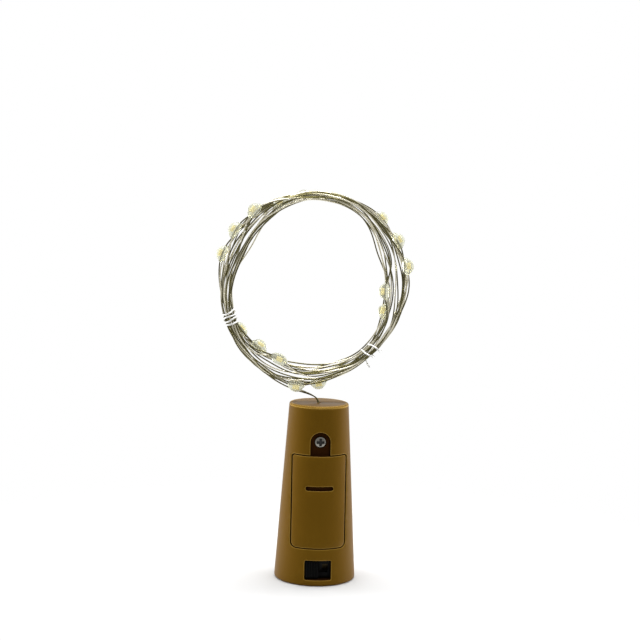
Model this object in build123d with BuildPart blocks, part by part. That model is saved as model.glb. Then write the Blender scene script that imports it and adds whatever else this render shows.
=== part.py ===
"""Cork bottle light: a battery plug in the shape of a tapered cork, with a coiled string of small lights.

The plug stands on its wide end, centred on the origin, with +Z up and the battery cover towards -Y.
"""
import math
import os

from build123d import *

os.makedirs("parts", exist_ok=True)

# Cork plug, two moulded halves that meet in the plane through the axis
cork_height = 48.0
cork_base_radius = 11.0
cork_top_radius = 8.0
shell_wall = 1.4
end_wall = 1.5
base_edge_radius = 0.7
top_edge_radius = 0.5
seam_lip_width = 0.6
seam_lip_height = 0.8
seam_clearance = 0.05
exit_hole_radius = 0.65

# Button cells, stacked along the plug
cell_count = 3
cell_radius = 5.8
cell_height = 5.4
cell_edge_chamfer = 0.3
cell_rim_height = 0.25
cell_cap_radius = 4.6
cell_groove_width = 0.35
cell_shoulder = 0.45
cell_axis_y = -1.2
cell_clearance = 0.3

# Battery bay and its contacts
bay_bottom = 11.2
tray_wall = 1.0
contact_sheet = 0.3
contact_width = 8.0
contact_front_y = -5.2
contact_back_y = 3.0
contact_tab_width = 2.0
contact_tab_reach = 2.4
contact_slot_clearance = 0.1
spring_height = 4.6
spring_wire = 0.45
spring_turns = 3
spring_wide_radius = 3.9
spring_narrow_radius = 2.0
spring_bend = 0.55

# Battery cover, its sunk tongue and screw
cover_thickness = 1.2
cover_gap = 0.25
cover_seat_gap = 0.05
cover_ledge = 1.05
cover_top_ledge = 2.2
cover_top_corner = 0.6
cover_bottom_corner = 1.2
pry_slot_length = 7.6
pry_slot_width = 1.2
pry_slot_depth = 0.75
pry_slot_rise = 16.0
recess_width = 5.4
recess_wall = 1.0
recess_floor_thickness = 1.2
tongue_clearance = 0.2
tongue_thickness = 1.2
tongue_set_back = 1.2
screw_rise = 3.7
screw_head_radius = 1.6
screw_head_height = 0.9
screw_shaft_radius = 0.8
screw_length = 4.6
screw_clearance = 0.03
screw_cross_length = 2.0
screw_cross_width = 0.4
screw_cross_depth = 0.5
boss_radius = 2.1
boss_end_wall = 0.8

# Slide switch in its window
window_width = 7.2
window_height = 5.3
window_corner = 0.4
window_wall = 0.8
switch_floor_gap = 0.25
switch_set_back = 2.93
switch_seat_gap = 0.05
rail_width = 1.0
frame_length = 8.8
frame_height = 5.1
frame_depth = 3.9
frame_sheet = 0.3
frame_corner = 0.4
frame_tab_length = 2.0
frame_tab_height = 0.9
knob_width = 3.7
knob_height = 4.7
knob_depth = 1.6
knob_edge_radius = 0.25
knob_rib_count = 5
knob_rib_pitch = 0.72
knob_rib_width = 0.36
knob_rib_height = 0.35
knob_gap = 0.15
switch_travel = 3.0
stem_width = 2.6
stem_height = 2.0
stem_clearance = 0.15
slider_plate_width = 4.4
slider_plate_height = 3.8
slider_plate_thickness = 1.1
slider_play = 0.1
switch_base_thickness = 1.2
switch_base_clearance = 0.05
terminal_pitch = 2.5
terminal_pad_width = 1.7
terminal_pad_height = 2.4
terminal_sheet = 0.2
terminal_leg_width = 0.5
terminal_leg_height = 1.0
terminal_leg_reach = 1.9
terminal_slot_clearance = 0.02
clip_width = 4.0
clip_height = 1.6
clip_sheet = 0.2
clip_foot = 0.8
clip_crown = 1.2
clip_gap = 0.05

# Inner wires and the glue bead that holds the light string
tube_sides = 4
lead_diameter = 0.5
lead_straight = 2.2
lead_sway = 0.5
lead_clearance = 0.8
anchor_radius = 1.7
anchor_height = 2.6
anchor_lead_spacing = 1.6

# Light string, two fine wires side by side
string_diameter = 0.75
exit_rise = 0.7
coil_entry_run = 3.4
ring_x = -2.3
ring_height = 79.3
ring_half_depth = 3.3
ring_layer_gap = 1.4
coil_start_angle = 238.0
coil_start_radius = 26.5
coil_end_radius = 23.2
coil_end_lift = 0.5
outer_turns = 5.6
climb_turns = 0.5
end_stub_turns = 0.012

# Stations round the ring: angle, radius of the bundle's middle, how far loose turns fan out and in
ring_stations = [
    (201.0, 23.7, 0.1, 0.1),
    (150.0, 23.2, 2.3, 1.3),
    (90.0, 24.2, 1.2, 0.8),
    (22.0, 21.9, 3.2, 3.0),
    (-48.0, 23.0, 0.1, 0.1),
    (-110.0, 23.9, 2.6, 2.4),
]
left_tie_station = ring_stations[0]
right_tie_station = ring_stations[4]

# Lights, evenly spaced along the string, each facing its own way round the wire
led_count = 15
first_led_turn = 0.533
led_turn_step = 0.6813
led_facings = [0, 0, 0, 0, 0, 315, 0, 0, 270, 180, 180, 180, 180, 135, 110]
drop_length = 4.2
drop_sides = 12
drop_belly_length = 1.6
drop_radius = 1.42
drop_end_radius = 1.02
drop_offset = 0.45
drop_bore_radius = 0.5
chip_length = 1.5
chip_width = 1.0
chip_height = 0.6
chip_clearance = 0.02

# Tie wires
tie_wire = 0.45
tie_clearance = 0.15
tie_tail = 2.4
left_tie_turns = 3.5
left_tie_pitch = 1.0
right_tie_turns = 2.0
right_tie_pitch = 2.6


def cork_radius(height):
    """Outer radius of the plug at a height."""
    return cork_base_radius - (cork_base_radius - cork_top_radius) * height / cork_height


# Heights and depths that follow from the sizes above; depths run from the axis towards the front
bay_height = cell_count * cell_height + spring_height + 2 * contact_sheet
bay_top = bay_bottom + bay_height
bay_radius = cell_radius + cell_clearance
tray_radius = bay_radius + tray_wall
cover_width = 2 * (bay_radius + cover_ledge)
cover_bottom = bay_bottom - cover_ledge
cover_top = bay_top + cover_top_ledge
screw_height = cover_top + screw_rise
tongue_front = cork_radius(screw_height) - tongue_set_back
recess_bottom = bay_top + tray_wall
recess_depth = tongue_front - tongue_thickness - cover_seat_gap
screw_tip = tongue_front - screw_length
anchor_top = cork_height - end_wall
anchor_bottom = anchor_top - anchor_height
knob_rest_x = -switch_travel / 2
switch_height = end_wall + switch_floor_gap + frame_height / 2
switch_front = cork_radius(switch_height) - switch_set_back
frame_back = switch_front - frame_depth
base_front = frame_back + switch_base_thickness
slider_plate_front = switch_front - frame_sheet - slider_play
slider_plate_back = slider_plate_front - slider_plate_thickness
knob_back = switch_front + knob_gap
knob_front = knob_back + knob_depth
terminal_leg_end = frame_back - terminal_leg_reach
coil_turns = first_led_turn + led_turn_step * (led_count - 1) + end_stub_turns
front_axis = Axis((0, 0, 0), (0, 0, -1))
cell_axis = Axis((0, cell_axis_y, 0), (0, 0, 1))


def front_plane(depth):
    """Plane parallel to the seam, the given depth in front of the axis, facing the front."""
    return Plane.XZ.offset(depth)


def cone_profile(inset):
    """Half section of the plug's straight cone, moved in by inset."""
    with BuildSketch() as profile:
        with BuildLine():
            Polyline(
                (0, 0),
                (cork_base_radius - inset, 0),
                (cork_top_radius - inset, cork_height),
                (0, cork_height),
                close=True,
            )
        make_face()
    return profile.sketch


def shell_profile():
    """Half section of the hollow plug with its rounded rims."""
    inner_top = cork_height - end_wall
    with BuildSketch() as profile:
        with BuildLine():
            Polyline(
                (0, 0),
                (cork_base_radius, 0),
                (cork_top_radius, cork_height),
                (0, cork_height),
                (0, inner_top),
                (cork_radius(inner_top) - shell_wall, inner_top),
                (cork_radius(end_wall) - shell_wall, end_wall),
                (0, end_wall),
                close=True,
            )
        make_face()
        fillet(profile.vertices().group_by(Axis.Y)[0].sort_by(Axis.X)[-1], radius=base_edge_radius)
        fillet(profile.vertices().group_by(Axis.Y)[-1].sort_by(Axis.X)[-1], radius=top_edge_radius)
    return profile.sketch


def seam_lip_profile(margin):
    """Section of the lip along both sides of the seam, grown by margin."""
    low = end_wall + shell_wall
    high = anchor_bottom
    with BuildSketch() as profile:
        with BuildLine():
            Polyline(
                (cork_radius(low) - shell_wall - margin, low - margin),
                (cork_radius(low) - shell_wall + seam_lip_width + margin, low - margin),
                (cork_radius(high) - shell_wall + seam_lip_width + margin, high + margin),
                (cork_radius(high) - shell_wall - margin, high + margin),
                close=True,
            )
        make_face()
        mirror(about=Plane.YZ)
    return profile.sketch


def cover_outline(margin):
    """Front outline of the battery cover, grown by margin."""
    with BuildSketch() as outline:
        with Locations((0, (cover_bottom + cover_top) / 2)):
            Rectangle(cover_width + 2 * margin, cover_top - cover_bottom + 2 * margin)
        fillet(outline.vertices().group_by(Axis.Y)[-1], radius=cover_top_corner + margin)
        fillet(outline.vertices().group_by(Axis.Y)[0], radius=cover_bottom_corner + margin)
    return outline.sketch


def recess_outline(margin, bottom):
    """U outline round the screw, open towards the cover, narrowed by margin."""
    radius = recess_width / 2 - margin
    with BuildSketch() as outline:
        with Locations((0, screw_height)):
            Circle(radius)
        with Locations((0, (screw_height + bottom) / 2)):
            Rectangle(2 * radius, screw_height - bottom)
    return outline.sketch


def cover_pocket():
    """Room for the cover in the plug's surface."""
    with BuildPart() as pocket:
        with BuildSketch(Plane.XZ):
            add(cover_outline(cover_gap))
        extrude(amount=2 * cork_base_radius)
        with BuildSketch(Plane.XZ):
            add(cone_profile(cover_thickness + cover_seat_gap))
        revolve(axis=Axis.Z, mode=Mode.SUBTRACT)
    return pocket.part


pocket_for_cover = cover_pocket()

# Front shell: half cone with the battery tray, the screw cup and the switch seat moulded in
with BuildPart() as front_shell:
    with BuildSketch(Plane.XY.offset(bay_bottom - tray_wall)):
        with Locations((0, cell_axis_y)):
            Circle(tray_radius)
        with Locations((0, (cell_axis_y - cork_base_radius) / 2)):
            Rectangle(2 * tray_radius, cork_base_radius + cell_axis_y)
    extrude(amount=bay_height + 2 * tray_wall)
    with BuildSketch(front_plane(recess_depth - recess_floor_thickness)):
        add(recess_outline(-recess_wall, recess_bottom))
    extrude(amount=cork_base_radius)
    with BuildSketch(front_plane(switch_front + switch_seat_gap)):
        with Locations((0, switch_height)):
            Rectangle(window_width + 2 * rail_width + 2 * window_wall, window_height + 2 * window_wall)
    extrude(amount=cork_base_radius)
    with BuildSketch(front_plane(frame_back)):
        rail_x = frame_length / 2 + switch_seat_gap + rail_width / 2
        with Locations((-rail_x, switch_height), (rail_x, switch_height)):
            Rectangle(rail_width, frame_height)
    extrude(amount=cork_base_radius)
    with BuildSketch(Plane.XZ):
        add(cone_profile(shell_wall / 2))
    revolve(axis=Axis.Z, mode=Mode.INTERSECT)
    with BuildSketch(front_plane(screw_tip - boss_end_wall)):
        with Locations((0, screw_height)):
            Circle(boss_radius)
    extrude(amount=recess_depth - screw_tip + boss_end_wall)
    with BuildSketch(Plane.XZ):
        add(shell_profile())
    revolve(axis=front_axis, revolution_arc=180)
    with BuildSketch(Plane.XY.offset(bay_bottom)):
        with Locations((0, cell_axis_y)):
            Circle(bay_radius)
        with Locations((0, cell_axis_y - cork_base_radius / 2)):
            Rectangle(2 * bay_radius, cork_base_radius)
    extrude(amount=bay_height, mode=Mode.SUBTRACT)
    add(pocket_for_cover, mode=Mode.SUBTRACT)
    with BuildSketch(front_plane(recess_depth)):
        add(recess_outline(0, recess_bottom))
    extrude(amount=cork_base_radius, mode=Mode.SUBTRACT)
    with BuildSketch(front_plane(screw_tip)):
        with Locations((0, screw_height)):
            Circle(screw_shaft_radius + screw_clearance)
    extrude(amount=screw_length, mode=Mode.SUBTRACT)
    with BuildSketch(front_plane(frame_back)):
        with Locations((0, switch_height)):
            RectangleRounded(window_width, window_height, window_corner)
    extrude(amount=cork_base_radius, mode=Mode.SUBTRACT)
    with BuildSketch(Plane.XY.offset(bay_bottom - tray_wall)):
        with Locations((0, contact_back_y - contact_sheet / 2)):
            Rectangle(
                contact_tab_width + 2 * contact_slot_clearance,
                contact_sheet + 2 * contact_slot_clearance,
            )
    extrude(amount=bay_height + 2 * tray_wall, mode=Mode.SUBTRACT)
    with BuildSketch(Plane.XZ):
        add(seam_lip_profile(seam_clearance))
    extrude(amount=seam_lip_height + seam_clearance, mode=Mode.SUBTRACT)
    with BuildSketch(Plane.XY.offset(anchor_top)):
        Circle(exit_hole_radius)
    extrude(amount=end_wall, mode=Mode.SUBTRACT)
front_shell.part.label = "front_shell"
export_step(front_shell.part, "parts/front_shell.step")

# Rear shell: the other half, with a lip along the seam that drops into the front half
with BuildPart() as rear_shell:
    with BuildSketch(Plane.XZ):
        add(shell_profile())
    revolve(axis=Axis.Z, revolution_arc=180)
    with BuildSketch(Plane.XZ):
        add(seam_lip_profile(0))
    extrude(amount=seam_lip_height)
    with BuildSketch(Plane.XY.offset(anchor_top)):
        Circle(exit_hole_radius)
    extrude(amount=end_wall, mode=Mode.SUBTRACT)
rear_shell.part.label = "rear_shell"
export_step(rear_shell.part, "parts/rear_shell.step")


def pry_slot():
    """Blind slot across the cover, as deep at its ends as in the middle."""
    with BuildPart() as slot:
        with BuildSketch(Plane.XZ):
            with Locations((0, cover_bottom + pry_slot_rise)):
                SlotOverall(pry_slot_length, pry_slot_width)
        extrude(amount=2 * cork_base_radius)
        with BuildSketch(Plane.XZ):
            add(cone_profile(pry_slot_depth))
        revolve(axis=Axis.Z, mode=Mode.SUBTRACT)
    return slot.part


# Battery cover: curved plate with a pry slot, and a sunk tongue that the screw holds down
with BuildPart() as battery_cover:
    with BuildSketch(Plane.XZ):
        add(cover_outline(0))
    extrude(amount=2 * cork_base_radius)
    with BuildSketch(Plane.XZ):
        add(cone_profile(0))
    revolve(axis=Axis.Z, mode=Mode.INTERSECT)
    with BuildSketch(Plane.XZ):
        add(cone_profile(cover_thickness))
    revolve(axis=Axis.Z, mode=Mode.SUBTRACT)
    riser_bottom = recess_bottom + tongue_clearance
    with BuildSketch(front_plane(tongue_front - tongue_thickness)):
        add(recess_outline(tongue_clearance, riser_bottom))
    extrude(amount=tongue_thickness)
    with BuildSketch(front_plane(tongue_front - tongue_thickness)):
        with Locations((0, (riser_bottom + cover_top) / 2)):
            Rectangle(recess_width - 2 * tongue_clearance, cover_top - riser_bottom)
    extrude(amount=cork_radius(cover_top) - cover_thickness / 2 - tongue_front + tongue_thickness)
    with BuildSketch(front_plane(tongue_front - tongue_thickness)):
        with Locations((0, screw_height)):
            Circle(screw_shaft_radius + screw_clearance)
    extrude(amount=tongue_thickness, mode=Mode.SUBTRACT)
    add(pry_slot(), mode=Mode.SUBTRACT)
battery_cover.part.label = "battery_cover"
export_step(battery_cover.part, "parts/battery_cover.step")

# Cover screw: pan head with a cross recess on a plain shaft
with BuildPart() as cover_screw:
    with BuildSketch(front_plane(screw_tip)):
        with Locations((0, screw_height)):
            Circle(screw_shaft_radius)
    extrude(amount=screw_length)
    with BuildSketch(front_plane(tongue_front)):
        with Locations((0, screw_height)):
            Circle(screw_head_radius)
    extrude(amount=screw_head_height)
    head_rim = cover_screw.faces().sort_by(Axis.Y)[0].edges()
    chamfer(head_rim, length=screw_head_height / 3)
    with BuildSketch(front_plane(tongue_front + screw_head_height - screw_cross_depth)):
        with Locations((0, screw_height)):
            Rectangle(screw_cross_length, screw_cross_width)
            Rectangle(screw_cross_width, screw_cross_length)
    extrude(amount=screw_cross_depth, mode=Mode.SUBTRACT)
cover_screw.part.label = "cover_screw"
export_step(cover_screw.part, "parts/cover_screw.step")

# Button cells: steel can with a crimped rim round the smaller cap
for cell in range(cell_count):
    cell_bottom = bay_bottom + contact_sheet + cell * cell_height
    rim = cell_height - cell_rim_height
    with BuildPart() as button_cell:
        with BuildSketch(Plane((0, cell_axis_y, cell_bottom), x_dir=(1, 0, 0), z_dir=(0, -1, 0))) as section:
            with BuildLine():
                Polyline(
                    (0, 0),
                    (cell_radius, 0),
                    (cell_radius, rim - cell_shoulder),
                    (cell_radius - cell_shoulder, rim),
                    (cell_cap_radius + cell_groove_width, rim),
                    (cell_cap_radius + cell_groove_width, rim - cell_rim_height),
                    (cell_cap_radius, rim - cell_rim_height),
                    (cell_cap_radius, cell_height),
                    (0, cell_height),
                    close=True,
                )
            make_face()
            chamfer(section.vertices().group_by(Axis.Y)[0].sort_by(Axis.X)[-1], length=cell_edge_chamfer)
        revolve(axis=cell_axis)
    button_cell.part.label = f"button_cell_{cell + 1}"
    export_step(button_cell.part, f"parts/button_cell_{cell + 1}.step")


def contact_plate(bottom, tab_up):
    """Sheet contact across an end of the bay, with a tab through the slot in the tray's end wall."""
    reach = tray_wall + contact_tab_reach
    plate_depth = contact_back_y - contact_front_y
    with BuildPart() as contact:
        with BuildSketch(Plane.XY.offset(bottom)):
            with Locations((0, contact_back_y - plate_depth / 2)):
                RectangleRounded(contact_width, plate_depth, cell_shoulder)
        extrude(amount=contact_sheet)
        with BuildSketch(Plane.XY.offset(bottom if tab_up else bottom - reach)):
            with Locations((0, contact_back_y - contact_sheet / 2)):
                Rectangle(contact_tab_width, contact_sheet)
        extrude(amount=reach + contact_sheet)
    return contact.part


positive_contact = contact_plate(bay_bottom, False)
positive_contact.label = "positive_contact"
export_step(positive_contact, "parts/positive_contact.step")

negative_contact = contact_plate(bay_top - contact_sheet, True)
negative_contact.label = "negative_contact"
export_step(negative_contact, "parts/negative_contact.step")


def biarc_corners(start, start_way, end, end_way):
    """Corner, joint and corner of the two tangent arcs from start to end."""
    chord = end - start
    ways = start_way + end_way
    bend = 2 * (1 - start_way.dot(end_way))
    along = chord.dot(ways)
    if bend < 1e-9:
        reach = chord.dot(chord) / (2 * along)
    else:
        reach = (math.sqrt(along * along + bend * chord.dot(chord)) - along) / bend
    first = start + start_way * reach
    last = end - end_way * reach
    return first, (first + last) * 0.5, last


def wound_path(points, ways, start_run, end_run):
    """Tangent arcs through the points, two to each stretch, with straight runs at the two ends."""
    with BuildLine() as path:
        if start_run > 0:
            Line(points[0] - ways[0] * start_run, points[0])
        for i in range(len(points) - 1):
            first, joint, last = biarc_corners(points[i], ways[i], points[i + 1], ways[i + 1])
            TangentArc(points[i], joint, tangent=ways[i])
            TangentArc(joint, points[i + 1], tangent=last - first)
        if end_run > 0:
            Line(points[-1], points[-1] + ways[-1] * end_run)
    return path.wire()


def wound_tube(path, diameter):
    """Tube with a four-sided section along the path."""
    start = Plane(path.position_at(0), z_dir=path.tangent_at(0))
    with BuildPart() as tube:
        with BuildSketch(start):
            RegularPolygon(diameter / 2, tube_sides)
        sweep(path=path)
    return tube.part


def path_points(path, samples):
    """Points along every arc of a path, with their distance from its start."""
    rows = []
    travelled = 0.0
    for edge in path.order_edges():
        for k in range(samples):
            rows.append((travelled + edge.length * k / samples, edge.position_at(k / samples)))
        travelled += edge.length
    return rows


def least_gap(path, diameter, samples, near):
    """Least gap between stretches of a tube that lie more than near apart along it."""
    rows = [(s, p.X, p.Y, p.Z) for s, p in path_points(path, samples)]
    least = 1e9
    for i, (s, x, y, z) in enumerate(rows):
        for other_s, other_x, other_y, other_z in rows[i + 1:]:
            if other_s - s > near:
                square = (x - other_x) ** 2 + (y - other_y) ** 2 + (z - other_z) ** 2
                if square < least:
                    least = square
    return math.sqrt(least) - diameter


# Contact spring: cone of wire between the negative contact and the top cell
spring_top = bay_top - contact_sheet
spring_bottom = spring_top - spring_height
spring_points = [Vector(spring_wide_radius, cell_axis_y, spring_top - spring_wire)]
spring_ways = [Vector(0, 0, -1)]
spring_run = spring_height - 2 * (spring_wire + spring_bend)
spring_start_angle = spring_bend / spring_wide_radius
spring_swing = 2 * math.pi * spring_turns - spring_start_angle - spring_bend / spring_narrow_radius
narrowing = (spring_narrow_radius - spring_wide_radius) / spring_swing
for node in range(4 * spring_turns + 1):
    swing = spring_swing * node / (4 * spring_turns)
    angle = spring_start_angle + swing
    radius = spring_wide_radius + narrowing * swing
    height = spring_top - spring_wire - spring_bend - spring_run * swing / spring_swing
    outwards = Vector(math.cos(angle), math.sin(angle), 0)
    onwards = Vector(-math.sin(angle), math.cos(angle), 0)
    spring_points.append(Vector(0, cell_axis_y, height) + outwards * radius)
    spring_ways.append(
        (outwards * narrowing + onwards * radius - Vector(0, 0, spring_run / spring_swing)).normalized()
    )
spring_points.append(Vector(spring_narrow_radius, cell_axis_y, spring_bottom + spring_wire))
spring_ways.append(Vector(0, 0, -1))
spring_path = wound_path(spring_points, spring_ways, spring_wire, spring_wire)
contact_spring = wound_tube(spring_path, spring_wire)
contact_spring.label = "contact_spring"
export_step(contact_spring, "parts/contact_spring.step")
print("spring least gap", round(least_gap(spring_path, spring_wire, 8, 4.0), 3))

# Switch frame: folded sheet can with a slot for the knob's stem and tabs folded behind the base
with BuildPart() as switch_frame:
    with BuildSketch(front_plane(frame_back)):
        with Locations((0, switch_height)):
            RectangleRounded(frame_length, frame_height, frame_corner)
    extrude(amount=frame_depth)
    with BuildSketch(front_plane(frame_back)):
        with Locations((0, switch_height)):
            Rectangle(frame_length - 2 * frame_sheet, frame_height - 2 * frame_sheet)
    extrude(amount=frame_depth - frame_sheet, mode=Mode.SUBTRACT)
    with BuildSketch(front_plane(switch_front - frame_sheet)):
        with Locations((0, switch_height)):
            Rectangle(
                stem_width + switch_travel + 2 * stem_clearance,
                stem_height + 2 * stem_clearance,
            )
    extrude(amount=frame_sheet, mode=Mode.SUBTRACT)
    with BuildSketch(front_plane(frame_back - frame_sheet)):
        tab_shift = frame_height / 2 - frame_tab_height / 2
        with Locations((0, switch_height - tab_shift), (0, switch_height + tab_shift)):
            Rectangle(frame_tab_length, frame_tab_height)
    extrude(amount=frame_sheet)
switch_frame.part.label = "switch_frame"
export_step(switch_frame.part, "parts/switch_frame.step")

terminal_places = [(k * terminal_pitch, switch_height) for k in (-1, 0, 1)]

# Switch base: insulating plate in the back of the frame, slotted for the three legs
with BuildPart() as switch_base:
    with BuildSketch(front_plane(frame_back)):
        with Locations((0, switch_height)):
            Rectangle(
                frame_length - 2 * frame_sheet - 2 * switch_base_clearance,
                frame_height - 2 * frame_sheet - 2 * switch_base_clearance,
            )
        with Locations(*terminal_places):
            Rectangle(
                terminal_leg_width + 2 * terminal_slot_clearance,
                terminal_leg_height + 2 * terminal_slot_clearance,
                mode=Mode.SUBTRACT,
            )
    extrude(amount=switch_base_thickness)
switch_base.part.label = "switch_base"
export_step(switch_base.part, "parts/switch_base.step")

# Switch terminals: contact pads in front of the base, each with a leg through it
with BuildPart() as switch_terminals:
    with BuildSketch(front_plane(base_front)):
        with Locations(*terminal_places):
            RectangleRounded(terminal_pad_width, terminal_pad_height, terminal_sheet)
    extrude(amount=terminal_sheet)
    with BuildSketch(front_plane(terminal_leg_end)):
        with Locations(*terminal_places):
            Rectangle(terminal_leg_width, terminal_leg_height)
    extrude(amount=base_front - terminal_leg_end)
switch_terminals.part.label = "switch_terminals"
export_step(switch_terminals.part, "parts/switch_terminals.step")

# Switch slider: ribbed knob in the window, stem through the slot and plate inside the frame
with BuildPart() as switch_slider:
    with BuildSketch(front_plane(slider_plate_back)):
        with Locations((knob_rest_x, switch_height)):
            Rectangle(slider_plate_width, slider_plate_height)
    extrude(amount=slider_plate_thickness)
    with BuildSketch(front_plane(slider_plate_front)):
        with Locations((knob_rest_x, switch_height)):
            Rectangle(stem_width, stem_height)
    extrude(amount=knob_back - slider_plate_front)
    with BuildSketch(front_plane(knob_back)):
        with Locations((knob_rest_x, switch_height)):
            RectangleRounded(knob_width, knob_height, knob_edge_radius)
    extrude(amount=knob_depth)
    with BuildSketch(front_plane(knob_front)):
        with Locations((knob_rest_x, switch_height)):
            with GridLocations(knob_rib_pitch, 0, knob_rib_count, 1):
                Rectangle(knob_rib_width, knob_height - 2 * knob_edge_radius)
    extrude(amount=knob_rib_height)
switch_slider.part.label = "switch_slider"
export_step(switch_slider.part, "parts/switch_slider.step")

# Slider contact: springy bridge behind the slider, with two feet that rub on neighbouring pads
clip_low = base_front + terminal_sheet + clip_gap
with BuildPart() as slider_contact:
    with BuildSketch(Plane.XY.offset(switch_height - clip_height / 2)):
        with BuildLine():
            foot_start = clip_width / 2 - clip_foot
            half = [
                (knob_rest_x + clip_width / 2, -clip_low),
                (knob_rest_x + clip_width / 2, -clip_low - clip_sheet),
                (knob_rest_x + foot_start, -clip_low - clip_sheet),
                (knob_rest_x + clip_crown / 2, -slider_plate_back),
            ]
            under = [
                (knob_rest_x + clip_crown / 2, -slider_plate_back + clip_sheet),
                (knob_rest_x + foot_start, -clip_low),
            ]
            left_half = [(2 * knob_rest_x - x, y) for x, y in reversed(half)]
            left_under = [(2 * knob_rest_x - x, y) for x, y in reversed(under)]
            Polyline(*half, *left_half, *left_under, *under, close=True)
        make_face()
    extrude(amount=clip_height)
slider_contact.part.label = "slider_contact"
export_step(slider_contact.part, "parts/slider_contact.step")

# Wire anchor: bead of glue under the exit hole
with BuildPart() as wire_anchor:
    with BuildSketch(Plane.XY.offset(anchor_bottom)):
        Circle(anchor_radius)
    extrude(amount=anchor_height)
    chamfer(wire_anchor.edges().group_by(Axis.Z)[0], length=anchor_radius / 4)
wire_anchor.part.label = "wire_anchor"
export_step(wire_anchor.part, "parts/wire_anchor.step")


def corner_radii(points):
    """Largest even bends for a wire through the points."""
    radii = []
    for before, corner, after in zip(points, points[1:], points[2:]):
        arriving = Vector(*corner) - Vector(*before)
        leaving = Vector(*after) - Vector(*corner)
        turn = math.radians(arriving.get_angle(leaving))
        radii.append(0.45 * min(arriving.length, leaving.length) / math.tan(turn / 2))
    return radii


def wire_run(name, points, diameter):
    """Wire along straight runs joined by the largest tangent arcs, written to its own file."""
    radii = corner_radii(points)
    with BuildLine() as path:
        FilletPolyline(*points, radius=radii)
    length = path.wire().length
    tube = wound_tube(path.wire(), diameter)
    tube.label = name
    export_step(tube, f"parts/{name}.step")
    area = tube_sides / 2 * math.sin(2 * math.pi / tube_sides) * (diameter / 2) ** 2
    print(name, "radii", [round(r, 2) for r in radii], "length", round(length, 2))
    print(name, "volume over section times length", round(tube.volume / (area * length), 4))


# Inner wires: from the cells to the switch, and from the switch and the cells up to the anchor
tab_y = contact_back_y - contact_sheet / 2
positive_tab_end = bay_bottom - tray_wall - contact_tab_reach
negative_tab_end = bay_top - contact_sheet + tray_wall + contact_tab_reach + contact_sheet
wire_run(
    "jumper_wire",
    [
        (0, tab_y, positive_tab_end),
        (0, tab_y, switch_height),
        (0, -terminal_leg_end, switch_height),
    ],
    lead_diameter,
)
tray_back = cell_axis_y + tray_radius
wire_run(
    "inner_lead_1",
    [
        (terminal_pitch, -terminal_leg_end, switch_height),
        (terminal_pitch, tab_y, switch_height),
        (terminal_pitch + lead_sway, tray_back + lead_clearance, positive_tab_end),
        (terminal_pitch - lead_sway, tray_back + lead_clearance, bay_bottom + 0.3 * bay_height),
        (terminal_pitch + lead_sway, tray_back + lead_diameter, bay_bottom + 0.7 * bay_height),
        (terminal_pitch, tray_back, bay_top + lead_straight),
        (anchor_lead_spacing / 2, lead_diameter, anchor_bottom - lead_straight),
        (anchor_lead_spacing / 2, 0, anchor_bottom),
    ],
    lead_diameter,
)
wire_run(
    "inner_lead_2",
    [
        (0, tab_y, negative_tab_end),
        (0, tab_y, negative_tab_end + lead_straight),
        (-anchor_lead_spacing / 2, 0, anchor_bottom - lead_straight),
        (-anchor_lead_spacing / 2, 0, anchor_bottom),
    ],
    lead_diameter,
)


def led_wave(turn):
    """One at each light, where a loose turn stands furthest out, and zero midway between lights."""
    return 0.5 + 0.5 * math.cos(2 * math.pi * (turn - first_led_turn) / led_turn_step)


def coil_radius(turn, station):
    """Distance of the string from the ring's centre: outer layer first, inner layer after the climb."""
    angle, middle, fan_out, fan_in = station
    share = min(max((turn - outer_turns) / climb_turns + 0.5, 0), 1)
    climb = share * share * (3 - 2 * share)
    outer = middle + ring_layer_gap / 2 + fan_out * led_wave(turn)
    inner = middle - ring_layer_gap / 2 - fan_in * led_wave(turn)
    return outer + (inner - outer) * climb


def coil_depth(turn):
    """The outer layer winds from the back to the front, and the inner layer back again."""
    if turn < outer_turns:
        return ring_half_depth * (1 - 2 * turn / outer_turns)
    return ring_half_depth * (2 * (turn - outer_turns) / (coil_turns - outer_turns) - 1)


def coil_rows():
    """Turn, radius and depth of the string at each station that it passes."""
    rows = [(0.0, coil_start_radius, coil_depth(0))]
    for lap in range(math.ceil(coil_turns) + 1):
        for station in ring_stations:
            turn = lap + (coil_start_angle - station[0]) / 360
            if end_stub_turns < turn < coil_turns - 4 * end_stub_turns:
                rows.append((turn, coil_radius(turn, station), coil_depth(turn)))
    rows.append((coil_turns, coil_end_radius, coil_depth(coil_turns) + coil_end_lift))
    return rows


def slope(rows, i, column):
    """Rate of change of a column per turn at row i, from the rows before and after it."""
    if i == 0:
        return 0.0
    back = rows[i][0] - rows[i - 1][0]
    back_rate = (rows[i][column] - rows[i - 1][column]) / back
    if i == len(rows) - 1:
        return back_rate
    ahead = rows[i + 1][0] - rows[i][0]
    ahead_rate = (rows[i + 1][column] - rows[i][column]) / ahead
    return (back_rate * ahead + ahead_rate * back) / (back + ahead)


# String coil: about ten loose turns of the light string in two layers, standing above the plug
rows = coil_rows()
coil_points = []
coil_ways = []
for i, (turn, radius, depth) in enumerate(rows):
    angle = math.radians(coil_start_angle - 360 * turn)
    outwards = Vector(math.cos(angle), 0, math.sin(angle))
    onwards = Vector(math.sin(angle), 0, -math.cos(angle))
    coil_points.append(Vector(ring_x, depth, ring_height) + outwards * radius)
    coil_ways.append(
        (
            outwards * slope(rows, i, 1) + onwards * (2 * math.pi * radius) + Vector(0, slope(rows, i, 2), 0)
        ).normalized()
    )
coil_path = wound_path(coil_points, coil_ways, string_diameter, string_diameter)
string_coil = wound_tube(coil_path, string_diameter)
string_coil.label = "string_coil"
export_step(string_coil, "parts/string_coil.step")
print("coil length", round(coil_path.length, 1))
print("coil least gap", round(least_gap(coil_path, string_diameter, 10, 20.0), 3))

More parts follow.
